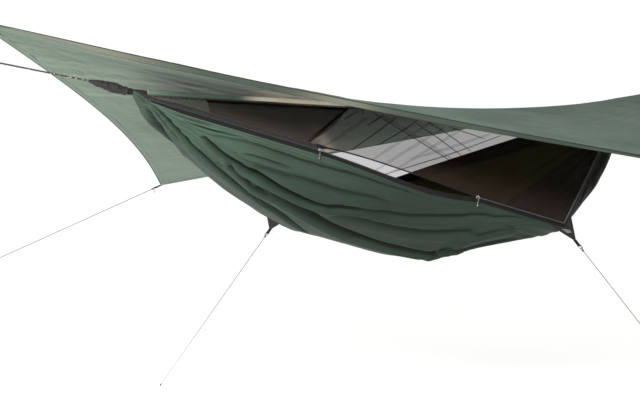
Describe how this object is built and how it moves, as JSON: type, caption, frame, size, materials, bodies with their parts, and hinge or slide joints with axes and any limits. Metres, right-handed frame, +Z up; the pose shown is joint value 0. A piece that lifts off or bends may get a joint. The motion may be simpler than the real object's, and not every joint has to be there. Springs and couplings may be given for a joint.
{
  "type": "hammock tent",
  "caption": "Gathered-end hammock bed with a zipped net roof, hung on a rope under a four-cornered rain fly with guy lines.",
  "frame": {"origin": "middle of the whipping on the left gather, where the suspension rope, the ridgeline and the bed meet", "axes": "+X along the ridgeline to the right gather, -Y towards the zip side, +Z up"},
  "size_m": [3.9848, 4.2481, 1.6802],
  "materials": {
    "bed_green": "woven nylon, slight sheen",
    "fly_green": "coated nylon, soft sheen",
    "hem_black": "woven tape",
    "net_black": "fine knitted net",
    "webbing_black": "webbing",
    "zip_black": "coil zip and tape",
    "zip_metal": "satin",
    "ring_metal": "satin",
    "cord_grey": "braided cord",
    "rope_dark": "braided rope",
    "hook_black": "satin black",
    "label_grey": "woven label, bare"
  },
  "bodies": {
    "tent": {"corner_label": "label_grey", "far_corner_patch": "webbing_black", "far_edge_binding": "hem_black", "far_net": "net_black", "far_tie_strap": "webbing_black", "fly_far_strap": "webbing_black", "fly_hem_far_left": "hem_black", "fly_hem_far_right": "hem_black", "fly_hem_near_left": "hem_black", "fly_hem_near_right": "hem_black", "fly_left_strap": "webbing_black", "fly_near_strap": "webbing_black", "fly_right_strap": "webbing_black", "fly_sheet": "fly_green", "gear_pocket": "net_black", "gear_pocket_band": "webbing_black", "hammock_body": "bed_green", "left_gather": "bed_green", "left_sleeve": "webbing_black", "left_whipping": "webbing_black", "main_rope_left": "rope_dark", "main_rope_left_eye": "rope_dark", "near_corner_patch": "webbing_black", "near_net": "net_black", "near_tie_strap": "webbing_black", "ridge_tape": "webbing_black", "ridgeline": "rope_dark", "right_gather": "bed_green", "right_sleeve": "webbing_black", "right_suspension_eye": "rope_dark", "right_whipping": "webbing_black", "zip_coil": "zip_black", "zip_tape_lower": "zip_black", "zip_tape_upper": "zip_black"},
    "zip_slider_left": {"zip_slider_left": "zip_metal"},
    "zip_pull_left": {"zip_pull_left": "cord_grey"},
    "zip_slider_right": {"zip_slider_right": "zip_metal"},
    "zip_pull_right": {"zip_pull_right": "cord_grey"},
    "ridge_loop_left": {"ridge_loop_left": "hook_black"},
    "ridge_hook_left": {"ridge_hook_left": "hook_black"},
    "ridge_loop_right": {"ridge_loop_right": "hook_black"},
    "ridge_hook_right": {"ridge_hook_right": "hook_black"},
    "fly_left_ring": {"fly_left_ring": "ring_metal"},
    "fly_right_ring": {"fly_right_ring": "ring_metal"},
    "fly_near_ring": {"fly_near_ring": "ring_metal"},
    "near_tie_guy": {"near_tie_ring": "ring_metal", "near_tie_guy_eye": "cord_grey", "near_tie_guy_line": "cord_grey", "near_tie_guy_end": "cord_grey"},
    "far_tie_guy": {"far_tie_ring": "ring_metal", "far_tie_guy_eye": "cord_grey", "far_tie_guy_line": "cord_grey", "far_tie_guy_end": "cord_grey"},
    "fly_far_guy": {"fly_far_ring": "ring_metal", "fly_far_guy_eye": "cord_grey", "fly_far_guy_line": "cord_grey", "fly_far_guy_end": "cord_grey"},
    "fly_far_hook": {"fly_far_hook": "ring_metal"}
  },
  "joints": [
    {"name": "zip_slider_left_slide", "type": "slide", "parent": "tent", "child": "zip_slider_left", "axis": [0.8976, -0.3489, -0.2694], "range_m": [-0.59, 0.32]},
    {"name": "zip_pull_left_swing", "type": "hinge", "parent": "zip_slider_left", "child": "zip_pull_left", "pos_m": [0.67584, -0.27474, -0.20698], "axis": [-0.8976, 0.3489, 0.2694], "range_deg": [0, 90]},
    {"name": "zip_slider_right_slide", "type": "slide", "parent": "tent", "child": "zip_slider_right", "axis": [0.8976, -0.3489, -0.2694], "range_m": [-0.32, 0.24]},
    {"name": "zip_pull_right_swing", "type": "hinge", "parent": "zip_slider_right", "child": "zip_pull_right", "pos_m": [1.2835, -0.51097, -0.38939], "axis": [-0.8976, 0.3489, 0.2694], "range_deg": [0, 90]},
    {"name": "ridge_loop_left_slide", "type": "slide", "parent": "tent", "child": "ridge_loop_left", "axis": [1, 0, 0], "range_m": [-0.9, 0.02]},
    {"name": "ridge_hook_left_swing", "type": "hinge", "parent": "ridge_loop_left", "child": "ridge_hook_left", "pos_m": [1.003, 0, -0.0196], "axis": [0, 1, 0], "range_deg": [-60, 60]},
    {"name": "ridge_loop_right_slide", "type": "slide", "parent": "tent", "child": "ridge_loop_right", "axis": [1, 0, 0], "range_m": [-0.02, 1.45]},
    {"name": "ridge_hook_right_swing", "type": "hinge", "parent": "ridge_loop_right", "child": "ridge_hook_right", "pos_m": [1.091, 0, -0.0196], "axis": [0, 1, 0], "range_deg": [-60, 60]},
    {"name": "fly_left_ring_swing", "type": "hinge", "parent": "tent", "child": "fly_left_ring", "pos_m": [-0.62387, 0, 0.22108], "axis": [0, -1, 0], "range_deg": [-60, 60]},
    {"name": "fly_right_ring_swing", "type": "hinge", "parent": "tent", "child": "fly_right_ring", "pos_m": [3.32387, 0, 0.22108], "axis": [0, 1, 0], "range_deg": [-60, 60]},
    {"name": "fly_near_ring_swing", "type": "hinge", "parent": "tent", "child": "fly_near_ring", "pos_m": [1.86916, -1.44097, -0.33766], "axis": [0.9408, 0.339, 0], "range_deg": [-60, 60]},
    {"name": "near_tie_guy_swing", "type": "hinge", "parent": "tent", "child": "near_tie_guy", "pos_m": [1.63155, -0.72387, -0.58685], "axis": [0.9967, -0.0817, 0], "range_deg": [-15, 15]},
    {"name": "far_tie_guy_swing", "type": "hinge", "parent": "tent", "child": "far_tie_guy", "pos_m": [1.062, 0.72127, -0.56229], "axis": [-1, 0, 0], "range_deg": [-15, 15]},
    {"name": "fly_far_guy_swing", "type": "hinge", "parent": "tent", "child": "fly_far_guy", "pos_m": [0.83084, 1.44097, -0.33766], "axis": [-0.9408, -0.339, 0], "range_deg": [-15, 15]},
    {"name": "fly_far_hook_swing", "type": "hinge", "parent": "fly_far_guy", "child": "fly_far_hook", "pos_m": [0.81871, 1.44367, -0.33982], "axis": [-0.3225, 0.895, -0.3082], "range_deg": [-40, 40]}
  ]
}
